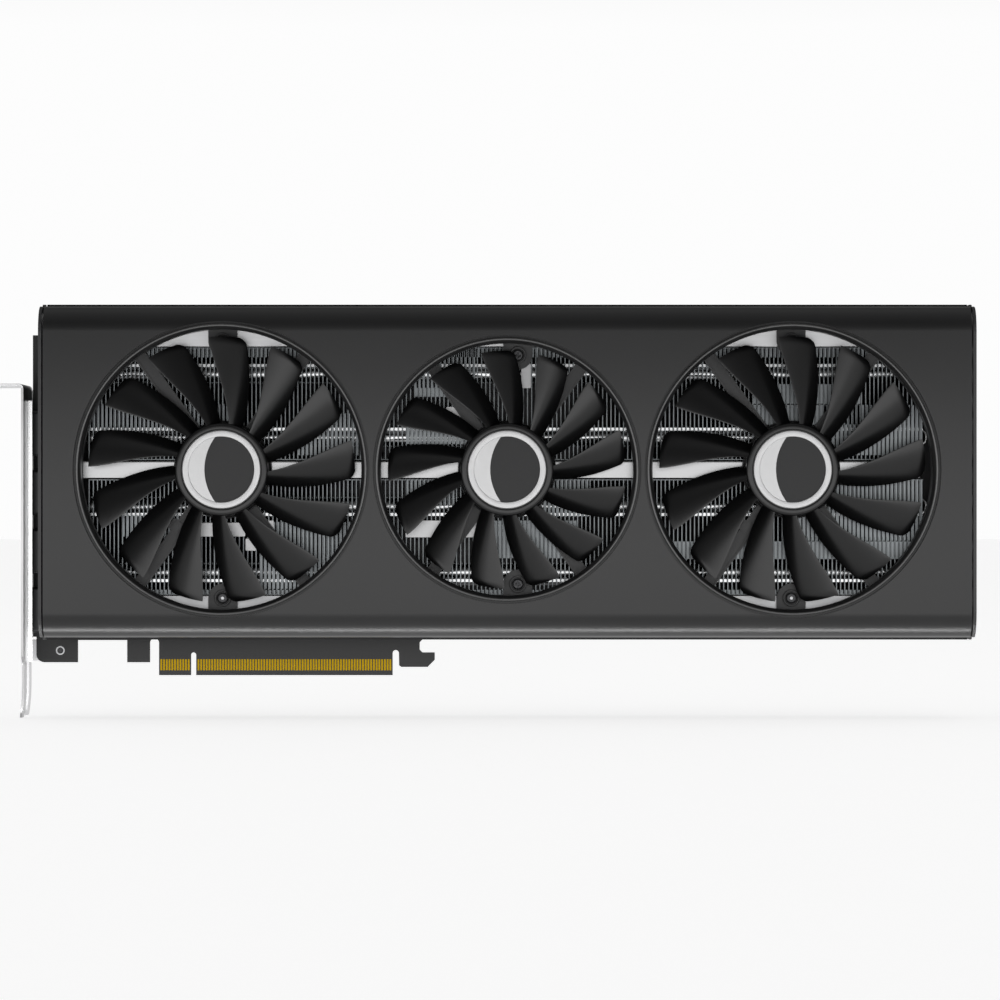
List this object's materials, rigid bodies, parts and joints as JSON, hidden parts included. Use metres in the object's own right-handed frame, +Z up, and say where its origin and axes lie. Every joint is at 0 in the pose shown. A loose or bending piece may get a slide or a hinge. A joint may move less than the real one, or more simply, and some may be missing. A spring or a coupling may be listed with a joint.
{
  "type": "graphics card",
  "caption": "Long graphics card with spinning cooling fans in a dark rounded shroud, a finned heatsink, an edge connector along its foot and a two slot steel bracket.",
  "frame": {"origin": "middle of the edge connector's long contact field, on its bottom face, at half the board's thickness", "axes": "+X along the card away from the bracket, -Y out of the fans, +Z up from the edge connector"},
  "size_m": [0.3531, 0.0537, 0.1487],
  "materials": {
    "black_plastic": "fine grained satin",
    "graphite": "satin dark grey coat",
    "hub_silver": "satin bright disc",
    "nickel": "bright nickel plate",
    "fin_aluminium": "thin rolled sheet",
    "steel": "bright zinc or nickel plate",
    "silicon": "polished",
    "copper_winding": "enamelled wire",
    "board_black": "black solder mask",
    "chip_black": "moulded epoxy",
    "pale_nylon": "plain moulded",
    "gold_plate": "hard gold plate"
  },
  "bodies": {
    "card": {"backplate": "graphite", "backplate_screw_lower": "steel", "backplate_screw_upper": "steel", "bracket": "steel", "bracket_screw_lower": "steel", "bracket_screw_upper": "steel", "centre_bar": "nickel", "choke_1": "chip_black", "choke_2": "chip_black", "circuit_board": "board_black", "cold_plate": "nickel", "contacts_long_back": "gold_plate", "contacts_long_front": "gold_plate", "contacts_short_back": "gold_plate", "contacts_short_front": "gold_plate", "cooler_rail_bottom": "fin_aluminium", "cooler_rail_top": "fin_aluminium", "display_socket_1": "steel", "display_socket_2": "steel", "display_socket_3": "steel", "display_socket_4": "steel", "end_plate_left": "graphite", "end_plate_right": "graphite", "fan_frame_left": "graphite", "fan_frame_middle": "graphite", "fan_frame_right": "graphite", "fan_header": "pale_nylon", "fan_screw_left_bottom": "steel", "fan_screw_left_top": "steel", "fan_screw_middle_bottom": "steel", "fan_screw_middle_top": "steel", "fan_screw_right_bottom": "steel", "fan_screw_right_top": "steel", "fin_stack_lower": "fin_aluminium", "fin_stack_upper": "fin_aluminium", "heat_pipe_1": "nickel", "heat_pipe_2": "nickel", "heat_pipe_3": "nickel", "heat_pipe_4": "nickel", "memory_1": "chip_black", "memory_2": "chip_black", "memory_3": "chip_black", "memory_4": "chip_black", "motor_coil_left": "copper_winding", "motor_coil_middle": "copper_winding", "motor_coil_right": "copper_winding", "power_socket_a": "black_plastic", "power_socket_b": "black_plastic", "processor_die": "silicon", "processor_package": "board_black", "shroud": "black_plastic"},
    "fan_left": {"fan_rotor_left": "black_plastic", "hub_cap_left": "hub_silver", "motor_shaft_left": "steel"},
    "fan_middle": {"fan_rotor_middle": "black_plastic", "hub_cap_middle": "hub_silver", "motor_shaft_middle": "steel"},
    "fan_right": {"fan_rotor_right": "black_plastic", "hub_cap_right": "hub_silver", "motor_shaft_right": "steel"}
  },
  "joints": [
    {"name": "fan_left_spin", "type": "hinge", "parent": "card", "child": "fan_left", "pos_m": [-0.0245, -0.0443, 0.0748], "axis": [0, -1, 0], "continuous": true},
    {"name": "fan_middle_spin", "type": "hinge", "parent": "card", "child": "fan_middle", "pos_m": [0.0775, -0.0443, 0.0748], "axis": [0, -1, 0], "continuous": true},
    {"name": "fan_right_spin", "type": "hinge", "parent": "card", "child": "fan_right", "pos_m": [0.1795, -0.0443, 0.0748], "axis": [0, -1, 0], "continuous": true}
  ]
}
